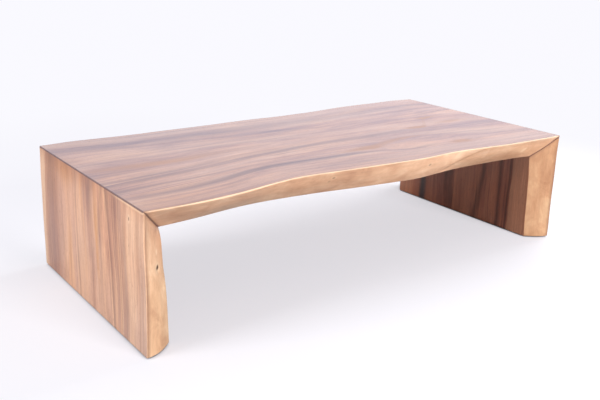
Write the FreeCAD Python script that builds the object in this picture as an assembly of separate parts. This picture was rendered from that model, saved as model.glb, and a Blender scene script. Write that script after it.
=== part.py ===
import FreeCAD, Part
import math
import os

# A coffee table made from one thick live-edge slab. The slab is cut twice at 45 degrees and folded,
# so that the grain runs down over both ends as two legs. Loose tenons hold each mitre, and each leg
# stands on nailed glides. Millimetres, +Z up, +X along the table, +Y to the back, origin on the
# floor under the middle of the table.

# Overall sizes
table_length = 1600.0
table_width = 760.0
table_height = 380.0
slab_thickness = 80.0

# Gaps and cutting allowances
glue_line = 0.2
overrun = 4.0

# Where the live edges cross the mitres: shares of table_width from the middle, on the slab's outer
# face at the outer corner and on its inner face at the inner corner. The top and the legs share them.
left_mitre_front_outer_share = -0.4530
left_mitre_front_inner_share = -0.3350
left_mitre_back_outer_share = 0.4320
left_mitre_back_inner_share = 0.3600
right_mitre_front_outer_share = -0.4820
right_mitre_front_inner_share = -0.4035
right_mitre_back_outer_share = 0.4850
right_mitre_back_inner_share = 0.4060

# Shape of the live edges. A row is: place along the slab, then for the front edge its outer face,
# its inner face and the belly between them, then the same three for the back edge. Faces are shares
# of table_width from the middle. The belly is a share of slab_thickness by which the edge bulges
# past a straight slope. Places on the top run from the inner corner of the left mitre at 0 to that
# of the right mitre at 1. Places on a leg run from the floor at 0 to the underside of the top at 1.
top_edge_shares = (
    (0.000, -0.4565, left_mitre_front_inner_share, 0.01, 0.4425, left_mitre_back_inner_share, 0.08),
    (0.083, -0.4535, -0.3240, 0.05, 0.4385, 0.3590, 0.10),
    (0.153, -0.4365, -0.3075, 0.08, 0.4360, 0.3520, 0.10),
    (0.215, -0.4135, -0.3020, 0.10, 0.4400, 0.3500, 0.09),
    (0.278, -0.4000, -0.3090, 0.10, 0.4420, 0.3560, 0.08),
    (0.354, -0.4100, -0.3240, 0.10, 0.4450, 0.3640, 0.10),
    (0.459, -0.4265, -0.3540, 0.09, 0.4540, 0.3660, 0.12),
    (0.541, -0.4385, -0.3740, 0.08, 0.4525, 0.3620, 0.11),
    (0.604, -0.4450, -0.3860, 0.08, 0.4550, 0.3640, 0.10),
    (0.680, -0.4375, -0.3760, 0.08, 0.4660, 0.3740, 0.09),
    (0.750, -0.4465, -0.3680, 0.08, 0.4820, 0.3880, 0.10),
    (0.833, -0.4650, -0.3730, 0.09, 0.4920, 0.3990, 0.12),
    (0.917, -0.4745, -0.3830, 0.08, 0.4940, 0.4040, 0.11),
    (0.967, -0.4785, -0.3930, 0.07, 0.4980, 0.4070, 0.09),
    (1.000, -0.4805, right_mitre_front_inner_share, 0.06, 0.4955, right_mitre_back_inner_share, 0.08),
)
left_leg_edge_shares = (
    (0.0, -0.4480, -0.3970, 0.14, 0.4475, 0.3650, 0.10),
    (0.2, -0.4510, -0.3930, 0.13, 0.4460, 0.3620, 0.10),
    (0.4, -0.4525, -0.3870, 0.11, 0.4455, 0.3580, 0.10),
    (0.6, -0.4530, -0.3750, 0.09, 0.4450, 0.3560, 0.09),
    (0.8, -0.4495, -0.3560, 0.06, 0.4420, 0.3570, 0.09),
    (1.0, -0.4470, left_mitre_front_inner_share, 0.02, 0.4390, left_mitre_back_inner_share, 0.08),
)
right_leg_edge_shares = (
    (0.0, -0.5000, -0.4380, 0.10, 0.4740, 0.3955, 0.10),
    (0.2, -0.4975, -0.4310, 0.09, 0.4760, 0.3965, 0.11),
    (0.4, -0.4930, -0.4260, 0.08, 0.4790, 0.3980, 0.11),
    (0.6, -0.4900, -0.4200, 0.07, 0.4830, 0.4010, 0.10),
    (0.8, -0.4870, -0.4140, 0.07, 0.4870, 0.4040, 0.09),
    (1.0, -0.4840, right_mitre_front_inner_share, 0.06, 0.4890, right_mitre_back_inner_share, 0.08),
)

# The same values without the place, at the outer corners, where the inner faces are cut away
left_end_shares = (
    *(left_mitre_front_outer_share, -0.3400, 0.00),
    *(left_mitre_back_outer_share, 0.3580, 0.06),
)
right_end_shares = (
    *(right_mitre_front_outer_share, -0.4080, 0.05),
    *(right_mitre_back_outer_share, 0.4050, 0.07),
)

# Loose tenons across each mitre, square to the joint face, nearer its inner corner
tenon_count = 6
tenon_thickness = 14.0
tenon_width = 50.0
tenon_chamfer = 1.5
tenon_cover = 12.0
tenon_edge_margin = 22.0
tenon_seat_share = 0.62
mortise_side_clearance = 0.15
mortise_end_clearance = 0.8

# Nailed glides under the legs
glide_radius = 11.0
glide_height = 3.0
glide_edge_radius = 0.8
glide_edge_margin = 25.0
nail_radius = 1.0
nail_head_radius = 4.0
nail_head_height = 1.0
nail_length = 16.0
nail_point_length = 2.5
nail_point_radius = 0.2
nail_side_clearance = 0.05
nail_head_clearance = 0.2
nail_recess_depth = 1.6
pilot_end_clearance = 0.5

# Eased edges: along the live edges, over the outer corners and round the feet
arris_radius = 3.0
corner_chamfer = 3.0
foot_chamfer = 2.0

# Sizes and places that follow
half_length = table_length / 2
underside_height = table_height - slab_thickness
mitre_setback = glue_line / math.sqrt(2)
corner_far_setback = (corner_chamfer + mitre_setback) / 2
corner_near_setback = (corner_chamfer - mitre_setback) / 2
tenon_seat_depth = tenon_seat_share * slab_thickness
mortise_thickness = tenon_thickness + 2 * mortise_side_clearance
mortise_width = tenon_width + 2 * mortise_side_clearance
mortise_length = 2 * math.sqrt(2) * (tenon_seat_depth - tenon_cover) - mortise_thickness
tenon_length = mortise_length - 2 * mortise_end_clearance
glide_depth = slab_thickness / 2
hands = {"left": -1, "right": 1}
leg_edge_shares = {"left": left_leg_edge_shares, "right": right_leg_edge_shares}
end_shares = {"left": left_end_shares, "right": right_end_shares}


def inner_face_ends(row):
    """Where the slab's inner face starts at the front and ends at the back."""
    return row[2] * table_width, row[5] * table_width


def spread(first, last, count):
    """Places at equal steps from the first to the last."""
    return [first + (last - first) * number / (count - 1) for number in range(count)]


def tenon_places(hand):
    """The middles of the tenons, between the ends of the mitre's inner corner."""
    front, back = inner_face_ends(leg_edge_shares[hand][-1])
    margin = tenon_edge_margin + tenon_width / 2
    return spread(front + margin, back - margin, tenon_count)


def glide_places(hand):
    """The middles of the front, middle and back glides, between the ends of the foot."""
    front, back = inner_face_ends(leg_edge_shares[hand][0])
    margin = glide_edge_margin + glide_radius
    places = spread(front + margin, back - margin, 3)
    return dict(zip(("front", "middle", "back"), places))


def edge_curve(place, along, outer, inner, belly):
    """One section line of a live edge, a parabola that runs past both faces of the slab."""
    first, last = -overrun, slab_thickness + overrun
    slope = (inner - outer) / slab_thickness
    bow = 4 * belly / slab_thickness

    def across(depth):
        return outer + slope * depth + bow * depth * (1 - depth / slab_thickness)

    steepness = slope + bow * (1 - 2 * first / slab_thickness)
    middle = across(first) + steepness * (last - first) / 2
    curve = Part.BezierCurve()
    curve.setPoles(
        [
            place(along, across(first), first),
            place(along, middle, (first + last) / 2),
            place(along, across(last), last),
        ]
    )
    return curve.toShape()


def section(place, along, shares):
    """The closed outline of the slab at one place along it."""
    front_outer, front_inner, front_belly, back_outer, back_inner, back_belly = shares
    front = edge_curve(
        place,
        along,
        front_outer * table_width,
        front_inner * table_width,
        -front_belly * slab_thickness,
    )
    back = edge_curve(
        place,
        along,
        back_outer * table_width,
        back_inner * table_width,
        back_belly * slab_thickness,
    )
    outer_line = Part.makeLine(back.Vertexes[0].Point, front.Vertexes[0].Point)
    inner_line = Part.makeLine(front.Vertexes[1].Point, back.Vertexes[1].Point)
    return Part.Wire([front, inner_line, back, outer_line])


def log_between_edges(place, stations):
    """The wood between the two live edges, run past the slab's faces and both of its ends."""
    first, last = stations[0], stations[-1]
    stations = [(first[0] - overrun, first[1])] + stations + [(last[0] + overrun, last[1])]
    wires = [section(place, along, shares) for along, shares in stations]
    return Part.makeLoft(wires, True, False)


def prism(outline):
    """A solid with this outline in the X-Z plane, running well past the table's front and back."""
    points = [FreeCAD.Vector(x, -table_width, z) for x, z in outline]
    face = Part.Face(Part.makePolygon(points + points[:1]))
    return face.extrude(FreeCAD.Vector(0, 2 * table_width, 0))


def eased(slab, direction):
    """Rounds the long edges of a slab, which run along this direction."""

    def run(edge):
        return abs(direction.dot(edge.Vertexes[-1].Point - edge.Vertexes[0].Point))

    longest = max(run(edge) for edge in slab.Edges)
    return slab.makeFillet(arris_radius, [edge for edge in slab.Edges if run(edge) > longest / 2])


def stadium(width, thickness):
    """A flat outline with round ends, centred on the origin: width along Y, thickness along X."""
    radius = thickness / 2
    reach = width / 2 - radius
    right, left = FreeCAD.Vector(radius, 0, 0), FreeCAD.Vector(-radius, 0, 0)
    to_back, to_front = FreeCAD.Vector(0, reach, 0), FreeCAD.Vector(0, -reach, 0)
    back_tip, front_tip = FreeCAD.Vector(0, width / 2, 0), FreeCAD.Vector(0, -width / 2, 0)
    return Part.Wire(
        [
            Part.makeLine(right + to_front, right + to_back),
            Part.Arc(right + to_back, back_tip, left + to_back).toShape(),
            Part.makeLine(left + to_back, left + to_front),
            Part.Arc(left + to_front, front_tip, right + to_front).toShape(),
        ]
    )


def upright_bar(width, thickness, length):
    """A round-ended bar along Z, centred on the origin."""
    bar = Part.Face(stadium(width, thickness)).extrude(FreeCAD.Vector(0, 0, length))
    bar.translate(FreeCAD.Vector(0, 0, -length / 2))
    return bar


def across_the_mitre(bar, hand, place):
    """Turns an upright bar square to the mitre and sets its middle in the joint face."""
    bar.rotate(FreeCAD.Vector(0, 0, 0), FreeCAD.Vector(0, 1, 0), -hands[hand] * 45)
    seat_x = hands[hand] * (half_length - tenon_seat_depth)
    bar.translate(FreeCAD.Vector(seat_x, place, table_height - tenon_seat_depth))
    return bar


def tenon(hand, place):
    """One loose tenon, with its two ends eased to find the mortise."""
    bar = upright_bar(tenon_width, tenon_thickness, tenon_length)
    rims = [edge for edge in bar.Edges if abs(edge.CenterOfMass.z) > tenon_length / 2 - tenon_chamfer]
    return across_the_mitre(bar.makeChamfer(tenon_chamfer, rims), hand, place)


def mortise(hand, place):
    """The room that a loose tenon needs in both halves of the joint."""
    return across_the_mitre(upright_bar(mortise_width, mortise_thickness, mortise_length), hand, place)


def glide_centre(hand, place):
    """The point on the floor under the middle of a glide."""
    return FreeCAD.Vector(hands[hand] * (half_length - glide_depth), place, 0)


def pilot_hole(hand, place):
    """The hole in the foot that a glide's nail is driven into."""
    depth = nail_recess_depth + nail_length - glide_height + pilot_end_clearance
    below = glide_centre(hand, place) + FreeCAD.Vector(0, 0, glide_height - overrun)
    return Part.makeCylinder(nail_radius + nail_side_clearance, depth + overrun, below)


def glide(hand, place):
    """A moulded disc with a recess that keeps the nail's head off the floor."""
    centre = glide_centre(hand, place)
    disc = Part.makeCylinder(glide_radius, glide_height, centre)
    floor_rim = [edge for edge in disc.Edges if edge.Closed and edge.CenterOfMass.z < glide_height / 2]
    disc = disc.makeFillet(glide_edge_radius, floor_rim)
    below = centre - FreeCAD.Vector(0, 0, overrun)
    recess = Part.makeCylinder(nail_head_radius + nail_head_clearance, nail_recess_depth + overrun, below)
    hole = Part.makeCylinder(nail_radius + nail_side_clearance, glide_height + 2 * overrun, below)
    return disc.cut(recess).cut(hole)


def glide_nail(hand, place):
    """A flat-headed nail, seated in the glide's recess, with its point up in the foot."""
    seat = glide_centre(hand, place) + FreeCAD.Vector(0, 0, nail_recess_depth)
    head = seat - FreeCAD.Vector(0, 0, nail_head_height)
    shank_length = nail_length - nail_point_length
    neck = seat + FreeCAD.Vector(0, 0, shank_length)
    return (
        Part.makeCylinder(nail_head_radius, nail_head_height, head)
        .fuse(Part.makeCylinder(nail_radius, shank_length, seat))
        .fuse(Part.makeCone(nail_radius, nail_point_radius, nail_point_length, neck))
        .removeSplitter()
    )


def top_slab():
    """The long middle piece of the slab, mitred at both ends."""
    span = table_length - 2 * slab_thickness
    stations = [
        (-half_length, left_end_shares),
        *((span * (share - 1 / 2), shares) for share, *shares in top_edge_shares),
        (half_length, right_end_shares),
    ]

    def place(along, across, depth):
        return FreeCAD.Vector(along, across, table_height - depth)

    right_end = [
        (half_length - corner_chamfer, table_height),
        (half_length - corner_far_setback, table_height - corner_near_setback),
        (half_length - mitre_setback - slab_thickness, underside_height),
    ]
    left_end = [(-x, z) for x, z in reversed(right_end)]
    slab = log_between_edges(place, stations).common(prism(right_end + left_end))
    slab = eased(slab, FreeCAD.Vector(1, 0, 0))
    return slab.cut([mortise(hand, middle) for hand in hands for middle in tenon_places(hand)])


def leg_slab(hand):
    """An end of the slab, folded down: mitred at its top and eased at its foot."""
    side = hands[hand]
    stations = [
        *((underside_height * share, shares) for share, *shares in leg_edge_shares[hand]),
        (table_height, end_shares[hand]),
    ]

    def place(along, across, depth):
        return FreeCAD.Vector(side * (half_length - depth), across, along)

    outline = [
        (side * half_length, glide_height),
        (side * half_length, table_height - corner_chamfer),
        (side * (half_length - corner_near_setback), table_height - corner_far_setback),
        (side * (half_length - slab_thickness), underside_height - mitre_setback),
        (side * (half_length - slab_thickness), glide_height),
    ]
    slab = log_between_edges(place, stations).common(prism(outline))
    slab = eased(slab, FreeCAD.Vector(0, 0, 1))
    foot = [
        edge
        for edge in slab.Edges
        if all(abs(vertex.Point.z - glide_height) < foot_chamfer for vertex in edge.Vertexes)
    ]
    rooms = [mortise(hand, middle) for middle in tenon_places(hand)]
    holes = [pilot_hole(hand, middle) for middle in glide_places(hand).values()]
    return slab.makeChamfer(foot_chamfer, foot).cut(rooms + holes)


def save(name, shape):
    """Writes one piece to its own file and prints its size."""
    (solid,) = shape.Solids
    solid.exportStep(os.path.join("parts", name + ".step"))
    box = solid.optimalBoundingBox(False)
    size = f"{box.XLength:.1f} x {box.YLength:.1f} x {box.ZLength:.1f} mm"
    print(f"{name:24s} {size:26s} {solid.Volume:12.0f} mm3  valid {solid.isValid()}")


def main():
    os.makedirs("parts", exist_ok=True)
    save("top_slab", top_slab())
    for hand in hands:
        save(f"{hand}_leg_slab", leg_slab(hand))
        for number, middle in enumerate(tenon_places(hand), 1):
            save(f"{hand}_mitre_tenon_{number}", tenon(hand, middle))
        for where, middle in glide_places(hand).items():
            save(f"{hand}_{where}_glide", glide(hand, middle))
            save(f"{hand}_{where}_glide_nail", glide_nail(hand, middle))


main()
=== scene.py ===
import math

import bpy
import numpy as np
from mathutils import Matrix, Vector, noise
from mathutils.bvhtree import BVHTree


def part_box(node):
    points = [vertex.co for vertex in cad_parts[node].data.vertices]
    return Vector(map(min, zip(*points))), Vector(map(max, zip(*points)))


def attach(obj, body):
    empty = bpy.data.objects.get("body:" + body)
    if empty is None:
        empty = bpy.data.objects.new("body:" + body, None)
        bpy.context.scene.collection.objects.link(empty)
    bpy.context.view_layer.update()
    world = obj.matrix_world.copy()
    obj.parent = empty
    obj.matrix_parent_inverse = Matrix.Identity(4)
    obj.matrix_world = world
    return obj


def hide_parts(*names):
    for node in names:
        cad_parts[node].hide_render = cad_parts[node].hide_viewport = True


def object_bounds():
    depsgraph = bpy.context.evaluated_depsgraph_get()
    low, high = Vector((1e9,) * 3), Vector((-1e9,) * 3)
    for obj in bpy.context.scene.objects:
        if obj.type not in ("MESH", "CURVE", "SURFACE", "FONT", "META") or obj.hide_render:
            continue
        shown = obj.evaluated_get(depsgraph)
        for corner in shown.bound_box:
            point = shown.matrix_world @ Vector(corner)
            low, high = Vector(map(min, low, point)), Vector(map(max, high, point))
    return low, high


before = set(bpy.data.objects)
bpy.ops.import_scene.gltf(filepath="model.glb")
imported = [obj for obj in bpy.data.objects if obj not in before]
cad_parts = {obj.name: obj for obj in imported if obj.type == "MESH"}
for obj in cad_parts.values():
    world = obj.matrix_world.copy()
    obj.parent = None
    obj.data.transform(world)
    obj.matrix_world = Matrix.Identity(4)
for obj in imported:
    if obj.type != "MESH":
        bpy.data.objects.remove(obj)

cad_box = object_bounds()

# The slab
# One thick raintree board with both natural edges left on. Its two broad faces are planed and sanded, and
# it is lacquered satin. It is cut twice at 45 degrees and folded, so the three pieces below share one
# figure, which is worked out here on the unfolded board.

half_length = cad_box[1].x
table_height = cad_box[1].z
board_thickness = 0.08
board_width = 0.72
glue_line_setback = 0.00015

# The pith of the log: how far behind the board's middle line it lay, and how far above its outer face.
pith_across = 0.02
pith_above = 0.14
# How quickly the figure changes on the way round the pith, in metres for each radian.
turn_round_pith = 0.16
# The tables of the figure reach from half this length left of the board's middle to half of it right, and
# no streak or zone reaches further than this share of the board's width to either side of its line.
figure_length = 2.4
widest_reach = 0.1


def add(tree, kind, *values, **settings):
    """Adds a shader node, sets it up, and gives its inputs numbers, colours or other nodes' outputs."""
    node = tree.nodes.new("ShaderNode" + kind)
    for name, value in settings.items():
        setattr(node, name, value)
    for socket, value in zip([s for s in node.inputs if s.enabled], values):
        if isinstance(value, bpy.types.NodeSocket):
            tree.links.new(value, socket)
        elif value is not None:
            socket.default_value = (*value, 1.0) if socket.type == "RGBA" else value
    return [s for s in node.outputs if s.enabled][0]


def calc(tree, operation, *values):
    return add(tree, "Math", *values, operation=operation)


def times(tree, *values):
    return calc(tree, "MULTIPLY", *values)


def minus(tree, *values):
    return calc(tree, "SUBTRACT", *values)


def scaled(tree, value, factor, offset):
    """A value times a factor, plus an offset."""
    return calc(tree, "MULTIPLY_ADD", value, factor, offset)


def soft_step(tree, value, low, high):
    """0 below low, 1 above high, and smooth between. With low above high it runs the other way."""
    return add(tree, "MapRange", value, low, high, 0.0, 1.0, interpolation_type="SMOOTHSTEP")


def colour_mix(tree, share, first, second):
    return add(tree, "Mix", share, first, second, data_type="RGBA", blend_type="MIX")


def tinted(tree, share, colour, tint):
    """Multiplies a tint into a colour, as strongly as share says."""
    return add(tree, "Mix", share, colour, tint, data_type="RGBA", blend_type="MULTIPLY")


def dimmed(tree, colour, light):
    """Makes a colour lighter or darker all over: a light of 1 leaves it as it is."""
    return tinted(tree, 1.0, colour, add(tree, "CombineColor", light, light, light))


def ramp(tree, share, stops, curve="LINEAR"):
    """A run of colours. A stop is its place from 0 to 1 and its colour."""
    node = tree.nodes.new("ShaderNodeValToRGB")
    node.color_ramp.interpolation = curve
    elements = node.color_ramp.elements
    elements[0].position, elements[1].position = stops[0][0], stops[-1][0]
    for place, _ in stops[1:-1]:
        elements.new(place)
    for element, (_, colour) in zip(elements, stops):
        element.color = (*colour, 1.0)
    tree.links.new(share, node.inputs[0])
    return node.outputs[0]


def stretched_noise(tree, place, stretch, detail=3.0, roughness=0.5, distortion=0.0):
    """Noise drawn out along the board: stretch gives how often it changes in each direction, per metre."""
    node = tree.nodes.new("ShaderNodeTexNoise")
    stretched = add(tree, "VectorMath", place, stretch, operation="MULTIPLY")
    tree.links.new(stretched, node.inputs["Vector"])
    node.inputs["Scale"].default_value = 1.0
    node.inputs["Detail"].default_value = detail
    node.inputs["Roughness"].default_value = roughness
    node.inputs["Distortion"].default_value = distortion
    return node.outputs[0]


def new_group(name, inputs, outputs):
    """An empty node group with named inputs and outputs."""
    group = bpy.data.node_groups.new(name, "ShaderNodeTree")
    for label, kind in inputs:
        group.interface.new_socket(label, in_out="INPUT", socket_type="NodeSocket" + kind)
    for label, kind in outputs:
        group.interface.new_socket(label, in_out="OUTPUT", socket_type="NodeSocket" + kind)
    return group, group.nodes.new("NodeGroupInput").outputs, group.nodes.new("NodeGroupOutput").inputs


def wood_fibre_group():
    """The fine grain of any wood: fibres and open pores, drawn out along X."""
    group, given, result = new_group(
        "wood fibres", [("Place", "Vector")], [("Fibres", "Float"), ("Pores", "Float")]
    )
    place = given["Place"]
    wander = stretched_noise(group, place, (5.0, 30.0, 30.0), 2.0)
    wander = scaled(group, wander, 0.012, -0.006)
    place = add(group, "VectorMath", place, add(group, "CombineXYZ", 0.0, wander, wander), operation="ADD")
    broad = stretched_noise(group, place, (7.0, 210.0, 210.0), 4.0, 0.6)
    fine = stretched_noise(group, place, (16.0, 760.0, 760.0), 2.0, 0.5)
    group.links.new(scaled(group, broad, 0.6, times(group, fine, 0.4)), result["Fibres"])
    pores = stretched_noise(group, place, (60.0, 1100.0, 1100.0), 1.0, 0.5)
    group.links.new(soft_step(group, pores, 0.64, 0.72), result["Pores"])
    return group


wood_fibres = wood_fibre_group()


def fibres_at(tree, place):
    """The fine grain at a place in a piece of wood: its fibres and its pores."""
    node = tree.nodes.new("ShaderNodeGroup")
    node.node_tree = wood_fibres
    tree.links.new(place, node.inputs["Place"])
    return node.outputs["Fibres"], node.outputs["Pores"]


def new_material(name):
    """A new material, its nodes and the shader of its surface."""
    material = bpy.data.materials.new(name)
    material.use_nodes = True
    return material, material.node_tree, material.node_tree.nodes["Principled BSDF"]


def finish_surface(tree, surface, colour, roughness, relief=None, strength=0.3, distance=0.0001):
    """Gives a surface its colour and roughness, and its fine relief if it has any."""
    tree.links.new(colour, surface.inputs["Base Color"])
    tree.links.new(roughness, surface.inputs["Roughness"])
    if relief is not None:
        bump = tree.nodes.new("ShaderNodeBump")
        bump.inputs["Strength"].default_value = strength
        bump.inputs["Distance"].default_value = distance
        tree.links.new(relief, bump.inputs["Height"])
        tree.links.new(bump.outputs["Normal"], surface.inputs["Normal"])


# The streaks, zones and spots of the figure, on the unfolded board. A point of a streak or zone is its place
# along the board in metres, left end first, its place across it from 0 at the front edge to 1 at the back
# edge, its strength, and its half width in the same terms. First the dark streaks of the heartwood.
dark_streaks = {
    "back heart band": (
        (-1.18, 0.93, 0.12, 0.12), (-1.0, 0.93, 0.14, 0.12), (-0.86, 0.91, 0.22, 0.09),
        (-0.74, 0.868, 0.28, 0.062), (-0.6, 0.852, 0.36, 0.064), (-0.45, 0.848, 0.46, 0.068),
        (-0.3, 0.838, 0.5, 0.07), (-0.15, 0.838, 0.52, 0.06), (0.0, 0.835, 0.42, 0.056),
        (0.2, 0.842, 0.36, 0.052), (0.5, 0.858, 0.32, 0.046), (0.76, 0.86, 0.45, 0.03),
        (0.9, 0.848, 0.5, 0.026), (1.18, 0.848, 0.5, 0.026),
    ),
    "lens below the band": (
        (-0.8, 0.8, 0.0, 0.012), (-0.65, 0.795, 0.34, 0.018), (-0.45, 0.765, 0.36, 0.022),
        (-0.3, 0.745, 0.32, 0.02), (-0.1, 0.732, 0.34, 0.018), (0.04, 0.712, 0.42, 0.018),
        (0.09, 0.69, 0.4, 0.018), (0.13, 0.68, 0.0, 0.01),
    ),
    "middle dark line": (
        (-1.18, 0.592, 0.55, 0.007), (-1.08, 0.594, 0.62, 0.007), (-0.98, 0.602, 0.3, 0.007),
        (-0.84, 0.602, 0.15, 0.01), (-0.6, 0.6, 0.15, 0.012), (-0.38, 0.588, 0.32, 0.011),
        (-0.2, 0.598, 0.36, 0.01), (0.0, 0.61, 0.0, 0.006),
    ),
    "purple ribbon": (
        (-1.18, 0.38, 0.1, 0.014), (-1.0, 0.375, 0.22, 0.016), (-0.86, 0.37, 0.42, 0.017),
        (-0.78, 0.352, 0.45, 0.018), (-0.6, 0.38, 0.4, 0.016), (-0.45, 0.395, 0.35, 0.014),
        (-0.2, 0.42, 0.2, 0.012), (-0.05, 0.43, 0.0, 0.01),
    ),
    "front dark line": (
        (-1.18, 0.264, 0.55, 0.011), (-1.05, 0.276, 0.55, 0.01), (-0.9, 0.292, 0.52, 0.01),
        (-0.8, 0.31, 0.5, 0.013), (-0.63, 0.352, 0.62, 0.019), (-0.45, 0.352, 0.62, 0.019),
        (-0.3, 0.366, 0.66, 0.018), (-0.2, 0.386, 0.62, 0.019), (-0.1, 0.404, 0.66, 0.021),
        (0.1, 0.424, 0.56, 0.023), (0.3, 0.414, 0.48, 0.021), (0.42, 0.41, 0.3, 0.02),
        (0.56, 0.4, 0.15, 0.014), (0.8, 0.372, 0.3, 0.01), (1.18, 0.35, 0.6, 0.011),
    ),
    "thin front line": (
        (-1.18, 0.195, 0.16, 0.06), (-1.0, 0.205, 0.22, 0.066), (-0.84, 0.215, 0.2, 0.054),
        (-0.76, 0.246, 0.5, 0.012), (-0.62, 0.256, 0.55, 0.011), (-0.45, 0.25, 0.5, 0.009),
        (-0.3, 0.256, 0.0, 0.006),
    ),
    "front heart band": (
        (-1.18, 0.16, 0.35, 0.014), (-1.0, 0.165, 0.38, 0.016), (-0.84, 0.16, 0.28, 0.02),
        (-0.76, 0.148, 0.5, 0.024), (-0.6, 0.158, 0.64, 0.024), (-0.45, 0.18, 0.8, 0.026),
        (-0.3, 0.194, 0.84, 0.025), (-0.15, 0.203, 0.76, 0.022), (0.0, 0.203, 0.55, 0.017),
        (0.08, 0.186, 0.22, 0.012), (0.14, 0.158, 0.42, 0.01), (0.2, 0.138, 0.7, 0.009),
        (0.3, 0.142, 0.2, 0.01), (0.5, 0.16, 0.2, 0.012), (0.78, 0.155, 0.25, 0.012),
        (0.88, 0.158, 0.7, 0.011), (1.18, 0.152, 0.8, 0.011),
    ),
    "right wavy line": (
        (0.34, 0.29, 0.0, 0.006), (0.44, 0.284, 0.4, 0.01), (0.56, 0.262, 0.42, 0.01),
        (0.64, 0.246, 0.4, 0.01), (0.72, 0.244, 0.1, 0.008), (0.8, 0.24, 0.1, 0.008),
        (0.86, 0.228, 0.7, 0.011), (1.0, 0.231, 0.75, 0.012), (1.09, 0.24, 0.75, 0.011),
        (1.18, 0.252, 0.6, 0.009),
    ),
    "right back line": (
        (0.45, 0.64, 0.0, 0.008), (0.62, 0.655, 0.3, 0.012), (0.74, 0.69, 0.4, 0.011),
        (0.85, 0.69, 0.4, 0.013), (1.18, 0.68, 0.45, 0.015),
    ),
    "sapwood line": ((0.76, 0.106, 0.0, 0.005), (0.84, 0.107, 0.75, 0.007), (1.18, 0.108, 0.75, 0.007)),
    "low right line": (
        (0.42, 0.2, 0.0, 0.008), (0.52, 0.205, 0.3, 0.01), (0.64, 0.185, 0.38, 0.01),
        (0.76, 0.175, 0.3, 0.01), (0.9, 0.19, 0.2, 0.01), (1.0, 0.2, 0.0, 0.008),
    ),
    "high right line": (
        (0.3, 0.76, 0.0, 0.01), (0.5, 0.77, 0.25, 0.014), (0.7, 0.765, 0.35, 0.014),
        (0.84, 0.769, 0.6, 0.005), (1.02, 0.767, 0.75, 0.004), (1.18, 0.765, 0.4, 0.003),
    ),
}
# The dark streaks that the rings run alongside, and where each would lie if the rings were straight.
guiding_streaks = (("front heart band", 0.17), ("front dark line", 0.37), ("back heart band", 0.86))
# Orange and rust-brown streaks, and one of nearly black heartwood down the right leg.
orange_streaks = {
    "left orange": (
        (-1.12, 0.395, 0.0, 0.01), (-1.04, 0.4, 0.5, 0.012), (-0.95, 0.404, 0.8, 0.016),
        (-0.86, 0.412, 0.55, 0.018), (-0.8, 0.42, 0.25, 0.016), (-0.66, 0.43, 0.0, 0.01),
    ),
    "middle orange": (
        (-0.08, 0.235, 0.0, 0.01), (0.0, 0.245, 0.9, 0.024), (0.06, 0.25, 1.0, 0.034),
        (0.12, 0.272, 0.7, 0.024), (0.2, 0.3, 1.0, 0.026), (0.27, 0.306, 0.9, 0.02),
        (0.36, 0.3, 0.0, 0.008),
    ),
    "right orange": (
        (0.3, 0.46, 0.0, 0.01), (0.38, 0.446, 0.7, 0.014), (0.43, 0.44, 1.0, 0.022),
        (0.48, 0.45, 0.3, 0.014), (0.53, 0.56, 0.3, 0.014), (0.58, 0.59, 1.0, 0.018),
        (0.64, 0.6, 0.4, 0.014), (0.72, 0.59, 0.0, 0.01),
    ),
    "leg back brown": (
        (-0.96, 0.85, 0.0, 0.08), (-0.89, 0.86, 0.22, 0.11), (-0.82, 0.87, 0.34, 0.13),
        (-0.79, 0.87, 0.15, 0.1), (-0.74, 0.87, 0.0, 0.06),
    ),
    "front corner": (
        (-0.82, 0.06, 0.0, 0.07), (-0.78, 0.06, 0.15, 0.08), (-0.6, 0.07, 0.15, 0.08),
        (-0.42, 0.08, 0.0, 0.06),
    ),
    "leg orange": (
        (-1.16, 0.53, 0.0, 0.01), (-1.06, 0.52, 0.25, 0.014), (-0.94, 0.525, 0.2, 0.016),
        (-0.84, 0.56, 0.35, 0.02), (-0.78, 0.52, 0.3, 0.026), (-0.5, 0.49, 0.4, 0.034),
        (-0.2, 0.5, 0.0, 0.024),
    ),
    "leg brown": (
        (-1.18, 0.72, 0.0, 0.01), (-1.1, 0.69, 0.38, 0.022), (-1.03, 0.675, 0.42, 0.024),
        (-0.96, 0.67, 0.1, 0.02), (-0.88, 0.7, 0.12, 0.05), (-0.83, 0.71, 0.75, 0.1),
        (-0.79, 0.71, 0.55, 0.1), (-0.74, 0.69, 0.0, 0.03),
    ),
}
black_streaks = {
    "heart stripe": ((0.74, 0.85, 0.0, 0.008), (0.88, 0.848, 0.95, 0.015), (1.18, 0.848, 0.95, 0.017)),
}
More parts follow.
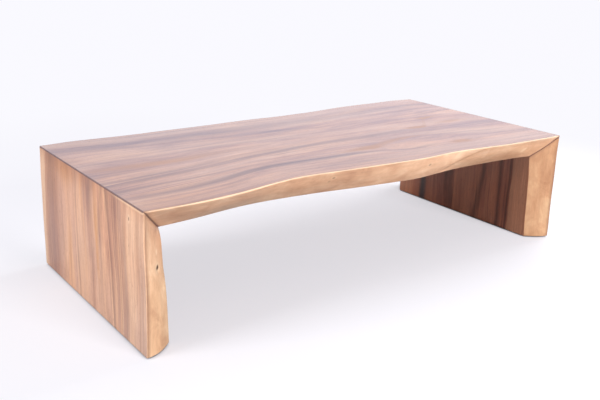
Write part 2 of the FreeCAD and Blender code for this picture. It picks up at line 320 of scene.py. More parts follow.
# Broad paler and darker zones.
pale_zones = {
    "leg peach": (
        (-1.18, 0.545, 0.6, 0.08), (-1.0, 0.56, 0.7, 0.08), (-0.86, 0.56, 0.6, 0.07),
        (-0.78, 0.58, 0.3, 0.06), (-0.7, 0.68, 0.4, 0.07), (-0.5, 0.69, 0.5, 0.08),
        (-0.3, 0.65, 0.45, 0.06), (0.1, 0.56, 0.25, 0.04), (0.33, 0.52, 0.6, 0.04), (0.5, 0.48, 0.5, 0.04),
        (0.64, 0.47, 0.8, 0.04), (0.8, 0.44, 0.6, 0.05), (1.0, 0.45, 0.0, 0.03),
    ),
    "leg middle peach": (
        (-1.18, 0.35, 0.55, 0.13), (-1.04, 0.37, 0.45, 0.11), (-0.92, 0.44, 0.4, 0.05),
        (-0.84, 0.44, 0.45, 0.04), (-0.78, 0.44, 0.0, 0.03),
    ),
    "right front peach": (
        (0.1, 0.34, 0.0, 0.016), (0.3, 0.345, 0.4, 0.022), (0.45, 0.31, 0.8, 0.05),
        (0.56, 0.275, 1.0, 0.08), (0.68, 0.24, 1.0, 0.07), (0.8, 0.225, 0.95, 0.06),
        (0.9, 0.275, 0.85, 0.034), (1.18, 0.275, 0.95, 0.034),
    ),
    "low peach": (
        (0.3, 0.08, 0.0, 0.02), (0.48, 0.1, 0.5, 0.034), (0.66, 0.12, 0.65, 0.044),
        (0.78, 0.13, 0.6, 0.044), (0.88, 0.195, 0.45, 0.026), (1.18, 0.195, 0.45, 0.026),
    ),
    "right back peach": (
        (0.55, 0.8, 0.0, 0.02), (0.76, 0.8, 0.35, 0.026), (0.9, 0.8, 0.15, 0.028), (1.18, 0.8, 0.15, 0.028),
    ),
}
shaded_zones = {
    "leg back shade": (
        (-1.18, 0.86, 0.5, 0.23), (-1.0, 0.85, 0.5, 0.24), (-0.88, 0.84, 0.58, 0.22),
        (-0.81, 0.84, 0.8, 0.21), (-0.76, 0.85, 0.32, 0.12), (-0.6, 0.86, 0.0, 0.07),
    ),
    "leg front shade": (
        (-1.18, 0.18, 0.05, 0.05), (-1.04, 0.19, 0.36, 0.06), (-0.92, 0.2, 0.32, 0.07),
        (-0.84, 0.26, 0.44, 0.08), (-0.78, 0.28, 0.3, 0.06), (-0.7, 0.28, 0.0, 0.05),
    ),
    "right back shade": ((0.76, 0.815, 0.0, 0.02), (0.9, 0.815, 0.36, 0.026), (1.18, 0.815, 0.36, 0.026)),
    "middle front shade": (
        (-0.4, 0.08, 0.0, 0.06), (-0.2, 0.11, 0.32, 0.07), (0.06, 0.1, 0.32, 0.06), (0.25, 0.09, 0.0, 0.04),
    ),
}
# Eyes, where the rings bulge and close in ovals: place along and across the board, half length, half width,
# how far they push the rings, and how orange they are.
eyes = (
    (-1.02, 0.68, 0.36, 0.085, 0.06, 0.0), (-0.27, 0.705, 0.42, 0.07, 0.05, 0.0),
    (0.98, 0.7, 0.34, 0.075, -0.06, 0.0), (-0.55, 0.5, 0.3, 0.06, 0.03, 0.3),
    (0.424, 0.44, 0.055, 0.026, 0.03, 0.9), (0.565, 0.587, 0.05, 0.024, 0.03, 0.8),
    (0.412, 0.145, 0.065, 0.032, 0.03, 0.8), (0.15, 0.225, 0.13, 0.03, -0.03, 0.0),
    (0.35, 0.22, 0.08, 0.026, 0.025, 0.0), (0.62, 0.47, 0.11, 0.034, -0.03, 0.4),
    (0.07, 0.242, 0.055, 0.024, 0.01, 0.7),
)
# The border of the pale sapwood on each side: place along and across the board, and how pale it is there.
sapwood_borders = {
    "front": (
        (-1.18, 0.138, 0.25), (-0.95, 0.14, 0.4), (-0.85, 0.14, 1.0), (-0.8, 0.132, 0.35),
        (-0.7, 0.125, 0.12), (-0.45, 0.138, 0.12), (-0.2, 0.15, 0.15), (0.1, 0.125, 0.3), (0.5, 0.11, 0.4),
        (0.79, 0.1, 0.45), (0.84, 0.1, 0.6), (1.18, 0.1, 0.65),
    ),
    "back": (
        (-1.18, 0.968, 1.0), (-1.0, 0.955, 1.0), (-0.82, 0.934, 1.0), (-0.78, 0.926, 0.4),
        (-0.5, 0.905, 0.4), (0.0, 0.9, 0.35), (0.5, 0.905, 0.3), (0.79, 0.9, 0.3), (0.84, 0.905, 0.36),
        (1.18, 0.905, 0.36),
    ),
}
# The live edges: place along the board, tone, where 0.8 leaves their colour as it is, and how much darker the
# half next to the inner face is.
live_edge_tones = (
    (-1.18, 0.84, 0.05), (-0.84, 0.84, 0.0), (-0.79, 0.78, 0.05), (-0.65, 0.88, 0.0), (-0.5, 1.04, 0.0),
    (-0.4, 0.9, 0.0), (-0.3, 0.78, 0.0), (-0.2, 0.8, 0.0), (-0.06, 0.8, 0.0), (-0.03, 0.85, 0.0),
    (0.05, 0.8, 0.05), (0.2, 0.88, 0.05), (0.29, 0.97, 0.05), (0.34, 0.84, 0.05), (0.45, 0.76, 0.0),
    (0.62, 0.8, 0.0), (0.8, 0.83, 0.0), (0.84, 0.62, 0.0), (1.18, 0.61, 0.0),
)
# Pale scars of small twigs, one broad pale patch of the front edge, and the small knots. Each has its place
# along the board, across it from its middle line and below the outer face, then half its length, width and
# depth, all in metres, and its strength.
scars = (
    ((-0.926, -0.31, 0.054), (0.009, 0.02, 0.0045), 0.55),
    ((0.64, -0.325, 0.04), (0.013, 0.03, 0.012), 0.55),
    ((0.3, -0.33, 0.022), (0.03, 0.03, 0.014), 0.55),
    ((-0.5, -0.31, 0.068), (0.15, 0.09, 0.03), 0.26),
)
open_knot = (-0.963, -0.317, 0.0515)
knots = (
    ((-0.841, -0.275, 0.0), (0.006, 0.0028, 0.004), 0.9),
    (open_knot, (0.0075, 0.015, 0.0058), 1.0),
    ((0.169, -0.347, 0.0295), (0.0065, 0.012, 0.0045), 0.5),
    ((-0.199, -0.345, 0.0228), (0.0055, 0.01, 0.0035), 0.55),
    ((-0.208, -0.336, 0.0345), (0.005, 0.01, 0.004), 0.3),
)
# Colours of the wood. A run of colours gives each one its place from 0 to 1, and a tint is multiplied into
# the colour that it falls on.
heart_colours = (
    (0.26, (0.235, 0.112, 0.094)), (0.38, (0.385, 0.19, 0.136)), (0.5, (0.525, 0.276, 0.184)),
    (0.62, (0.64, 0.355, 0.226)), (0.74, (0.73, 0.44, 0.285)),
)
sap_colours = ((0.3, (0.5, 0.29, 0.184)), (0.5, (0.64, 0.392, 0.262)), (0.72, (0.775, 0.525, 0.372)))
live_edge_colours = (
    (0.32, (0.51, 0.268, 0.16)), (0.43, (0.627, 0.355, 0.218)), (0.54, (0.718, 0.436, 0.278)),
    (0.66, (0.82, 0.552, 0.372)),
)
crisp_line_colour = (0.23, 0.11, 0.08)
peach_colour = (0.79, 0.475, 0.302)
orange_colour = (0.47, 0.19, 0.045)
black_colour = (0.055, 0.038, 0.04)
# Painted highlight along the outer arris, and painted shadow just past it on the legs
arris_highlight_colour = (1.0, 0.82, 0.58)
arris_shadow_colour = (0.22, 0.1, 0.06)
pore_colour = (0.12, 0.06, 0.04)
knot_colour = (0.1, 0.045, 0.025)
knot_rim_colour = (0.92, 0.68, 0.46)
scar_colour = (0.95, 0.74, 0.53)
# Painted highlight on the legs' rounded outer corners
corner_highlight_colour = (0.88, 0.62, 0.4)
glue_line_colour = (0.12, 0.05, 0.04)
# A brown stain along the seams; on the live edges it is also painted shadow
seam_stain_and_shadow_colour = (0.3, 0.13, 0.08)
cool_tint, warm_tint = (0.96, 0.97, 1.04), (1.05, 1.0, 0.93)
shade_tint = (0.61, 0.56, 0.61)
dark_streak_tint = (0.22, 0.19, 0.23)
# Painted shade for the underside of the top and the legs' inner faces, which lie in shade under the table.
inner_face_shade_heart_tint, inner_face_shade_sap_tint = (0.66, 0.44, 0.385), (0.86, 0.67, 0.59)
warm_end_tint, grey_end_tint = (0.99, 0.94, 0.85), (0.985, 1.09, 1.17)
right_leg_edge_tint, left_foot_edge_tint = (1.0, 0.92, 0.8), (1.01, 1.08, 1.05)
# Tint for the wood just below the folds, which is darker
below_fold_tint = (0.74, 0.64, 0.58)


def along_the_board(tree, along, points):
    """Reads a line drawn along the board: the two or three values after each point's place along it."""
    share = scaled(tree, along, 1 / figure_length, 0.5)
    stops = [(0.5 + u / figure_length, (*values, 0.0)[:3]) for u, *values in points]
    return add(tree, "SeparateColor", ramp(tree, share, stops, "B_SPLINE")).node.outputs


def streak_mask(tree, along, across, points, fray):
    """How strongly one streak colours a point of the wood. Fray roughens its outline."""
    centre, strength, half_width = along_the_board(tree, along, points)
    half_width = calc(tree, "MINIMUM", half_width, widest_reach)
    distance = calc(tree, "ABSOLUTE", minus(tree, across, centre))
    reach = calc(tree, "ADD", calc(tree, "DIVIDE", distance, half_width), fray)
    return times(tree, soft_step(tree, reach, 1.40, 0.15), strength)


def any_of(tree, masks):
    """Joins masks so that they never add up past 1 where they overlap."""
    kept = 1.0
    for mask in masks:
        kept = times(tree, kept, minus(tree, 1.0, mask))
    return minus(tree, 1.0, kept)


def joined_mask(tree, along, across, table, fray=0.0):
    """How strongly any streak of a table colours a point of the wood."""
    return any_of(tree, [streak_mask(tree, along, across, points, fray) for points in table.values()])


def spot_reach(tree, grain, place, half_sizes):
    """How far a point of the wood is from an oval spot: 0 at its middle and 1 at its rim."""
    offset = add(tree, "VectorMath", grain, place, operation="SUBTRACT")
    offset = add(tree, "VectorMath", offset, tuple(1 / size for size in half_sizes), operation="MULTIPLY")
    return add(tree, "VectorMath", offset, operation="LENGTH").node.outputs["Value"]


def spot_mask(tree, grain, spots, rim, heart, share=1.0):
    """The knots or scars of a table, each fading in from its rim to its heart."""
    masks = []
    for place, half_sizes, strength in spots:
        reach = spot_reach(tree, grain, place, half_sizes)
        masks.append(times(tree, soft_step(tree, reach, rim, heart), share * strength))
    return any_of(tree, masks)


def place_in_log(tree, along, across, depth):
    """Turns a point of the board into its place in the log: along it, out from the pith and round the pith.

    Also gives its place across the board, from 0 at the front to 1 at the back, and the eyes' orange.
    """
    from_pith = minus(tree, across, pith_across)
    below_pith = calc(tree, "ADD", depth, pith_above)
    squares = scaled(tree, from_pith, from_pith, times(tree, below_pith, below_pith))
    ring = calc(tree, "SQRT", squares)
    turn = times(tree, calc(tree, "ARCTAN2", from_pith, below_pith), turn_round_pith)
    on_face = calc(tree, "SQRT", calc(tree, "MAXIMUM", minus(tree, squares, pith_above**2), 0.0))
    on_face = times(tree, on_face, calc(tree, "SIGN", from_pith))
    place = scaled(tree, calc(tree, "ADD", on_face, pith_across), 1 / board_width, 0.5)
    wood = add(tree, "CombineXYZ", along, ring, turn)
    slow = minus(tree, stretched_noise(tree, wood, (1.6, 9.0, 9.0), 2.0), 0.5)
    quick = minus(tree, stretched_noise(tree, wood, (6.5, 34.0, 34.0), 3.0), 0.5)
    place = calc(tree, "ADD", place, scaled(tree, slow, 0.030, times(tree, quick, 0.014)))

    # The rings run alongside the three main streaks, and bulge at the eyes
    flow, near, level = 0.0, 0.0, 0.0
    guides = [(along_the_board(tree, along, dark_streaks[name])[0], even) for name, even in guiding_streaks]
    for far, target in [*guides, (1.0, 1.0)]:
        step = add(tree, "MapRange", place, near, far, 0.0, target - level)
        flow = calc(tree, "ADD", flow, step)
        near, level = far, target
    glow = 0.0
    on_board = add(tree, "CombineXYZ", along, place, 0.0)
    for u, t, length, width, push, orange in eyes:
        reach = spot_reach(tree, on_board, (u, t, 0.0), (length, width, 1.0))
        bulge = soft_step(tree, reach, 1.5, 0.0)
        flow = scaled(tree, bulge, push, flow)
        if orange:
            glow = scaled(tree, times(tree, bulge, bulge), orange, glow)
    ring = scaled(tree, flow, board_width, -0.5 * board_width - pith_across)
    ring = calc(tree, "SQRT", scaled(tree, ring, ring, pith_above**2))
    return add(tree, "CombineXYZ", along, ring, turn), place, glow


def heartwood(tree, along, place, wood, glow, inside, past_left_fold):
    """Broad soft bands, finer rings that come and go and crisp dark lines, under the zones and streaks."""
    calm = soft_step(tree, stretched_noise(tree, wood, (1.3, 9.0, 8.0), 2.0), 0.35, 0.65)
    bands = stretched_noise(tree, wood, (0.9, 12.0, 8.0), 3.0, 0.45, 0.3)
    rings = stretched_noise(tree, wood, (1.5, 110.0, 34.0), 5.0, 0.70)
    tone = add(tree, "Mix", scaled(tree, calm, 0.30, 0.34), bands, rings, data_type="FLOAT")
    cloud = stretched_noise(tree, wood, (4.5, 17.0, 14.0), 3.0, 0.55, 0.4)
    tone = scaled(tree, minus(tree, cloud, 0.5), 0.30, tone)
    quiet = times(tree, soft_step(tree, place, 0.45, 0.70), minus(tree, 1.0, past_left_fold))
    contrast = scaled(tree, quiet, -0.82, scaled(tree, past_left_fold, -0.16, 1.56))
    heart = ramp(tree, scaled(tree, minus(tree, tone, 0.5), contrast, 0.5), heart_colours)
    lines = stretched_noise(tree, wood, (0.9, 230.0, 70.0), 2.0, 0.5)
    lines = times(tree, soft_step(tree, lines, 0.57, 0.68), scaled(tree, calm, 0.45, 0.15))
    heart = colour_mix(tree, lines, heart, crisp_line_colour)
    warmth = soft_step(tree, stretched_noise(tree, wood, (2.6, 22.0, 12.0), 3.0, 0.55, 0.3), 0.34, 0.66)
    heart = tinted(tree, 1.0, heart, colour_mix(tree, warmth, cool_tint, warm_tint))

    pale = times(tree, joined_mask(tree, along, place, pale_zones), scaled(tree, rings, 0.4, 0.42))
    heart = colour_mix(tree, pale, heart, peach_colour)
    heart = tinted(tree, joined_mask(tree, along, place, shaded_zones), heart, shade_tint)
    # Painted shade on the underside and inner faces
    heart = tinted(tree, inside, heart, inner_face_shade_heart_tint)

    dark = joined_mask(tree, along, place, dark_streaks, scaled(tree, rings, -3.4, 1.7))
    breaks = soft_step(tree, stretched_noise(tree, wood, (3.0, 150.0, 60.0), 4.0, 0.65), 0.30, 0.62)
    heart = tinted(tree, times(tree, dark, scaled(tree, breaks, 0.38, 0.62)), heart, dark_streak_tint)
    orange = joined_mask(tree, along, place, orange_streaks)
    orange = times(tree, orange, scaled(tree, breaks, 0.35, 0.65))
    orange = calc(tree, "MINIMUM", scaled(tree, glow, 1.9, orange), 1.0)
    heart = colour_mix(tree, orange, heart, orange_colour)
    black = joined_mask(tree, along, place, black_streaks, scaled(tree, rings, -0.8, 0.4))
    return colour_mix(tree, black, heart, black_colour)


def with_sapwood(tree, heart, along, place, wood, inside):
    """The paler sapwood under the bark, over the heartwood along both live edges."""
    sap = ramp(tree, stretched_noise(tree, wood, (1.5, 70.0, 40.0), 3.0, 0.6), sap_colours)
    # Painted shade on the sapwood of the underside and inner faces
    sap = tinted(tree, inside, sap, inner_face_shade_sap_tint)
    masks = []
    for side, low, high in (("front", 0.003, -0.003), ("back", -0.006, 0.006)):
        border, strength = along_the_board(tree, along, sapwood_borders[side])[:2]
        mask = soft_step(tree, minus(tree, place, border), low, high)
        masks.append(times(tree, mask, strength))
    return colour_mix(tree, calc(tree, "MAXIMUM", *masks), heart, sap)


def with_live_edge(tree, colour, grain, along, depth, from_middle, live_edge, arris):
    """The rounded live edges, mottled where the bark came off, with painted highlight and shadow along the
    arrises.
    """
    mottle = stretched_noise(tree, grain, (15.0, 21.0, 24.0), 4.0, 0.62, 0.6)
    cloud = stretched_noise(tree, grain, (4.5, 7.0, 10.0), 2.0, 0.5)
    tan = ramp(tree, scaled(tree, mottle, 0.6, times(tree, cloud, 0.4)), live_edge_colours)
    tone, low_shade = along_the_board(tree, along, live_edge_tones)[:2]
    low_shade = times(tree, soft_step(tree, depth, 0.025, 0.065), low_shade)
    tone = scaled(tree, low_shade, -0.5, tone)
    tan = dimmed(tree, tan, times(tree, tone, 1.25))
    past_fold = soft_step(tree, along, half_length, half_length + 0.002)
    tan = tinted(tree, past_fold, tan, right_leg_edge_tint)
    tan = tinted(tree, soft_step(tree, along, -0.90, -1.05), tan, left_foot_edge_tint)
    colour = colour_mix(tree, live_edge, colour, tan)

    # A painted highlight along the middle of the outer arris, strongest on the top
    on_top = soft_step(tree, from_middle, half_length, half_length - 0.02)
    arris_highlight_share = scaled(tree, soft_step(tree, along, -0.80, -0.66), 0.38, 0.30)
    arris_highlight_share = times(tree, calc(tree, "MAXIMUM", arris, 0.0), scaled(tree, on_top, arris_highlight_share, 0.05))
    colour = colour_mix(tree, arris_highlight_share, colour, arris_highlight_colour)
    # A painted shadow just past the outer arris on the legs, stronger towards the feet
    low_down = soft_step(tree, from_middle, half_length, 1.02)
    arris_shadow_share = calc(tree, "MAXIMUM", times(tree, arris, -1.0), 0.0)
    arris_shadow_share = times(tree, arris_shadow_share, scaled(tree, low_down, 0.34, 0.30))
    return colour_mix(tree, arris_shadow_share, colour, arris_shadow_colour)


def with_fold_marks(tree, colour, place, depth, from_middle, live_edge, from_seam):
    """Both folds' marks: painted highlight on the legs' corners, darker wood below, glue line, stain and
    painted shadow.
    """
    on_legs = soft_step(tree, from_middle, half_length - 0.0005, half_length + 0.0005)
    # A painted highlight on the legs' rounded outer corners, towards the front
    corner = times(tree, soft_step(tree, from_seam, 0.0075, 0.0030), on_legs)
    corner = times(tree, corner, soft_step(tree, place, 0.32, 0.14))
    corner = times(tree, corner, soft_step(tree, depth, 0.008, 0.002))
    colour = colour_mix(tree, times(tree, corner, 0.5), colour, corner_highlight_colour)
    # The legs are darker just below the folds, most of all towards the back
    below_fold_darkening = times(tree, soft_step(tree, from_seam, 0.055, 0.0), on_legs)
    below_fold_darkening = times(tree, times(tree, below_fold_darkening, soft_step(tree, place, 0.30, 0.62)), 0.75)
    colour = tinted(tree, below_fold_darkening, colour, below_fold_tint)
    # A brown glue stain along the seams, stronger on the live edges, where it is also painted shadow
    seam_stain_and_shadow = times(tree, soft_step(tree, from_seam, 0.016, 0.0), scaled(tree, live_edge, 0.30, 0.12))
    colour = colour_mix(tree, seam_stain_and_shadow, colour, seam_stain_and_shadow_colour)
    # The dark glue line, widened on the live edges as painted shadow of the step at the mitre
    glue = soft_step(tree, from_seam, scaled(tree, live_edge, 0.0052, 0.0011), 0.0003)
    return colour_mix(tree, times(tree, glue, 0.86), colour, glue_line_colour)


def raintree_group():
    """The figure of the board: heartwood rings and streaks, sapwood, mottled live edges, knots and seams."""
    group, given, result = new_group(
        "raintree board",
        [("Grain", "Vector"), ("Edge", "Vector")],
        [("Color", "Color"), ("Roughness", "Float"), ("Height", "Float")],
    )
    grain = given["Grain"]
    along, across, depth = add(group, "SeparateXYZ", grain).node.outputs
    live_edge, from_seam, arris = add(group, "SeparateXYZ", given["Edge"]).node.outputs
    from_middle = calc(group, "ABSOLUTE", along)
    # How near a point lies to the inner face, where the wood carries painted shade
    inside = soft_step(group, depth, 0.02, 0.079)
    past_left_fold = soft_step(group, along, -0.86, -0.74)
    wood, place, glow = place_in_log(group, along, across, depth)

    colour = heartwood(group, along, place, wood, glow, inside, past_left_fold)
    colour = with_sapwood(group, colour, along, place, wood, inside)

    # The board is warmer at the left end of the top, and greyer down the left leg, most of all at the front
    warm_end = times(group, soft_step(group, along, -0.50, -0.74), past_left_fold)
    colour = tinted(group, warm_end, colour, warm_end_tint)
    grey_end = scaled(group, soft_step(group, place, 0.34, 0.12), 0.45, 0.55)
    grey_end = times(group, grey_end, soft_step(group, along, -0.88, -1.14))
    colour = tinted(group, grey_end, colour, grey_end_tint)
    colour = with_live_edge(group, colour, grain, along, depth, from_middle, live_edge, arris)

    # Fibres and pores over everything, weaker on the live edges
    fibres, pores = fibres_at(group, wood)
    contrast = scaled(group, live_edge, -0.54, 1.04)
    colour = dimmed(group, colour, scaled(group, minus(group, fibres, 0.5), contrast, 1.0))
    open_pores = times(group, pores, scaled(group, live_edge, -0.38, 0.45))
    colour = colour_mix(group, open_pores, colour, pore_colour)

    # Knots, each in a paler rim, and the scars on the live edges
    knot = spot_mask(group, grain, knots, 1.25, 0.45)
    colour = colour_mix(group, spot_mask(group, grain, knots, 2.4, 1.3, 0.35), colour, knot_rim_colour)
    colour = colour_mix(group, knot, colour, knot_colour)
    scar = times(group, spot_mask(group, grain, scars, 1.3, 0.3), live_edge)
    colour = colour_mix(group, scar, colour, scar_colour)
    colour = with_fold_marks(group, colour, place, depth, from_middle, live_edge, from_seam)

    group.links.new(colour, result["Color"])
    group.links.new(scaled(group, pores, 0.15, scaled(group, fibres, 0.12, 0.33)), result["Roughness"])
    height = scaled(group, pores, -0.5, fibres)
    group.links.new(scaled(group, knot, -2.0, height), result["Height"])
    return group


lacquered, wood_tree, surface = new_material("lacquered raintree")
figure = wood_tree.nodes.new("ShaderNodeGroup")
figure.node_tree = raintree_group()
for label in ("Grain", "Edge"):
    attribute = wood_tree.nodes.new("ShaderNodeAttribute")
    attribute.attribute_name = label.lower()
    wood_tree.links.new(attribute.outputs["Vector"], figure.inputs[label])
finish_surface(wood_tree, surface, *figure.outputs, strength=0.25, distance=0.0004)
surface.inputs["IOR"].default_value = 1.5
surface.inputs["Specular IOR Level"].default_value = 0.25
surface.inputs["Coat Weight"].default_value = 1.0
surface.inputs["Coat Roughness"].default_value = 0.18
surface.inputs["Coat IOR"].default_value = 1.55

# The arrises, where the broad faces meet a live edge. They are rounded over by hand.
arris_radius = 0.003
longest_arris = 0.009
smooth_below = math.radians(32)
# The rows of a piece run round its live edges, arris, edge and inner arris, and its columns run across it.
arris_steps = 8
edge_steps = 16
row_count = 2 * arris_steps + edge_steps
column_shares = np.concatenate([[0, 0.003, 0.010], np.linspace(0.035, 0.965, 26), [0.990, 0.997, 1]])
# Its cross-sections stand at these distances from an end, and evenly between. The depths are those at which
# its live edges are read off the solid, a hair inside its ends.
near_an_end = np.array([0.0004, 0.0009, 0.0016, 0.0026, 0.0040, 0.0060, 0.0085])
reading_depths = np.array([0.007, 0.016, 0.026, 0.036, 0.046, 0.056, 0.066, 0.074])
inside_the_end = 0.0006
# The natural hollows of a live edge: how deep they are at most, and how often they come in a metre. They
# fade out over a few rows towards each arris.
natural_hollows = ((0.0016, 7.0), (0.0007, 24.0), (0.0003, 70.0))
fade_rows = 3


def station_shares(length, spacing):
    """Places of the cross-sections along a piece, from 0 to 1, closer together at both ends."""
    near = near_an_end / length
    middle = np.linspace(near[-1], 1 - near[-1], round((length - 2 * near_an_end[-1]) / spacing))
    return np.concatenate([[0], near[:-1], middle, (1 - near[:-1])[::-1], [1]])


def corner_setback(depth, radius):
    """How far a mitred end stops short of the outer corner: 45 degrees, rounded over where the faces meet."""
    rounded = radius - np.sqrt(np.maximum(radius**2 - (radius - np.minimum(depth, radius)) ** 2, 0))
    return np.where(depth < radius * (1 - math.sqrt(0.5)), rounded, depth + glue_line_setback)


def smoothed(values, reach=3):
    """Evens out a line that was read off the solid, and keeps its ends where they are."""
    before = 2 * values[0] - values[reach:0:-1]
    after = 2 * values[-1] - values[-2 : -reach - 2 : -1]
    padded = np.concatenate([before, values, after])
    return np.convolve(padded, np.ones(2 * reach + 1) / (2 * reach + 1), "valid")


def read_live_edge(solid, place, stations, outward):
    """Reads a live edge off the solid, as a cubic in the depth at every station."""
    vertices = [vertex.co for vertex in solid.data.vertices]
    tree = BVHTree.FromPolygons(vertices, [face.vertices for face in solid.data.polygons])
    rows = []
    for depth in reading_depths:
        row = []
        for station in stations(depth):
            x, z = place(station, depth)
            hit = tree.ray_cast(Vector((x, outward, z)), Vector((0, -outward, 0)))[0]
            row.append(hit.y)
        rows.append(row)
    curves = np.polyfit(reading_depths, np.array(rows), 3)
    return np.array([smoothed(curve) for curve in curves])


def edge_profile(curve, outward, radius):
    """The rows of one live edge at every station: a round arris, the edge itself and a round inner arris."""
    def y_at(depth):
        return ((curve[0] * depth + curve[1]) * depth + curve[2]) * depth + curve[3]

    def slope_at(depth):
        return (3 * curve[0] * depth + 2 * curve[1]) * depth + curve[2]

    def arc(corner_depth, down):
        """Points of the arris from the flat face round to the edge."""
        run_y, run_depth = slope_at(corner_depth) * down, np.full_like(radius, down)
        length = np.hypot(run_y, run_depth)
        run_y, run_depth = run_y / length, run_depth / length
        half_angle = np.arccos(np.clip(-outward * run_y, -1, 1)) / 2
        reach = np.minimum(radius / np.tan(half_angle), longest_arris)
        corner_y = y_at(corner_depth)
        depth_on_edge = corner_depth + reach * run_depth
        start = (corner_y - outward * reach, np.full_like(radius, corner_depth))
        end = (y_at(depth_on_edge), depth_on_edge)
        weight = np.sin(half_angle)
        points = []
        for t in np.linspace(0, 1, arris_steps + 1):
            a, b, c = (1 - t) ** 2, 2 * t * (1 - t) * weight, t**2
            y = (a * start[0] + b * corner_y + c * end[0]) / (a + b + c)
            depth = (a * start[1] + b * corner_depth + c * end[1]) / (a + b + c)
            points.append((y, depth))
        return points

    outer = arc(0.0, 1.0)
    inner = arc(board_thickness, -1.0)[::-1]
    between = []
    for t in np.linspace(0, 1, edge_steps + 1)[1:-1]:
        depth = outer[-1][1] * (1 - t) + inner[0][1] * t
        between.append((y_at(depth), depth))
    rows = outer + between + inner
    return np.array([y for y, _ in rows]).T, np.array([depth for _, depth in rows]).T


def worn_away(unfolded, depth, outward):
    """How deep the natural hollows are at a point of a live edge."""
    total = 0.0
    for reach, often in natural_hollows:
        spot = Vector((unfolded * often, depth * often * 1.3, outward * 9.0))
        total += reach * (0.5 + 0.5 * noise.noise(spot))
    return total


def live_edge_rows(solid, place, stations, unfold, outward, hollows):
    """One live edge of a piece, as rows across it: the places across, the depths, and its outer line."""
    curve = read_live_edge(solid, place, stations, outward)
    wander = np.array([noise.noise(Vector((unfold(s) * 9.0, outward * 3.0, 5.0))) for s in stations(0.0)])
    ys, depths = edge_profile(curve, outward, arris_radius * (1 + 0.25 * wander))
    unfolded = [unfold(station) for station in stations(board_thickness / 2)]
    for k in range(row_count + 1):
        fade = min(1.0, (k - arris_steps) / fade_rows, (row_count - arris_steps - k) / fade_rows)
        for i, u in enumerate(unfolded):
            if fade > 0:
                ys[i, k] -= outward * fade * worn_away(u, depths[i, k], outward)
            for hollow in hollows:
                ys[i, k] -= outward * hollow(u, depths[i, k], outward)
    return ys, depths, curve[3]


def slab_blank(name, lengthways, crossways):
    """A sheet of faces drawn down row by row into a closed block, ready to take the shape of the board."""
    bpy.ops.object.select_all(action="DESELECT")
    bpy.ops.mesh.primitive_grid_add(x_subdivisions=lengthways, y_subdivisions=crossways, size=2)
    blank = bpy.context.object
    blank.name = blank.data.name = name
    bpy.ops.object.mode_set(mode="EDIT")
    bpy.ops.mesh.select_all(action="SELECT")
    for _ in range(row_count):
        bpy.ops.mesh.extrude_region_move(TRANSFORM_OT_translate={"value": (0, 0, -1)})
    bpy.ops.object.mode_set(mode="OBJECT")
    return blank


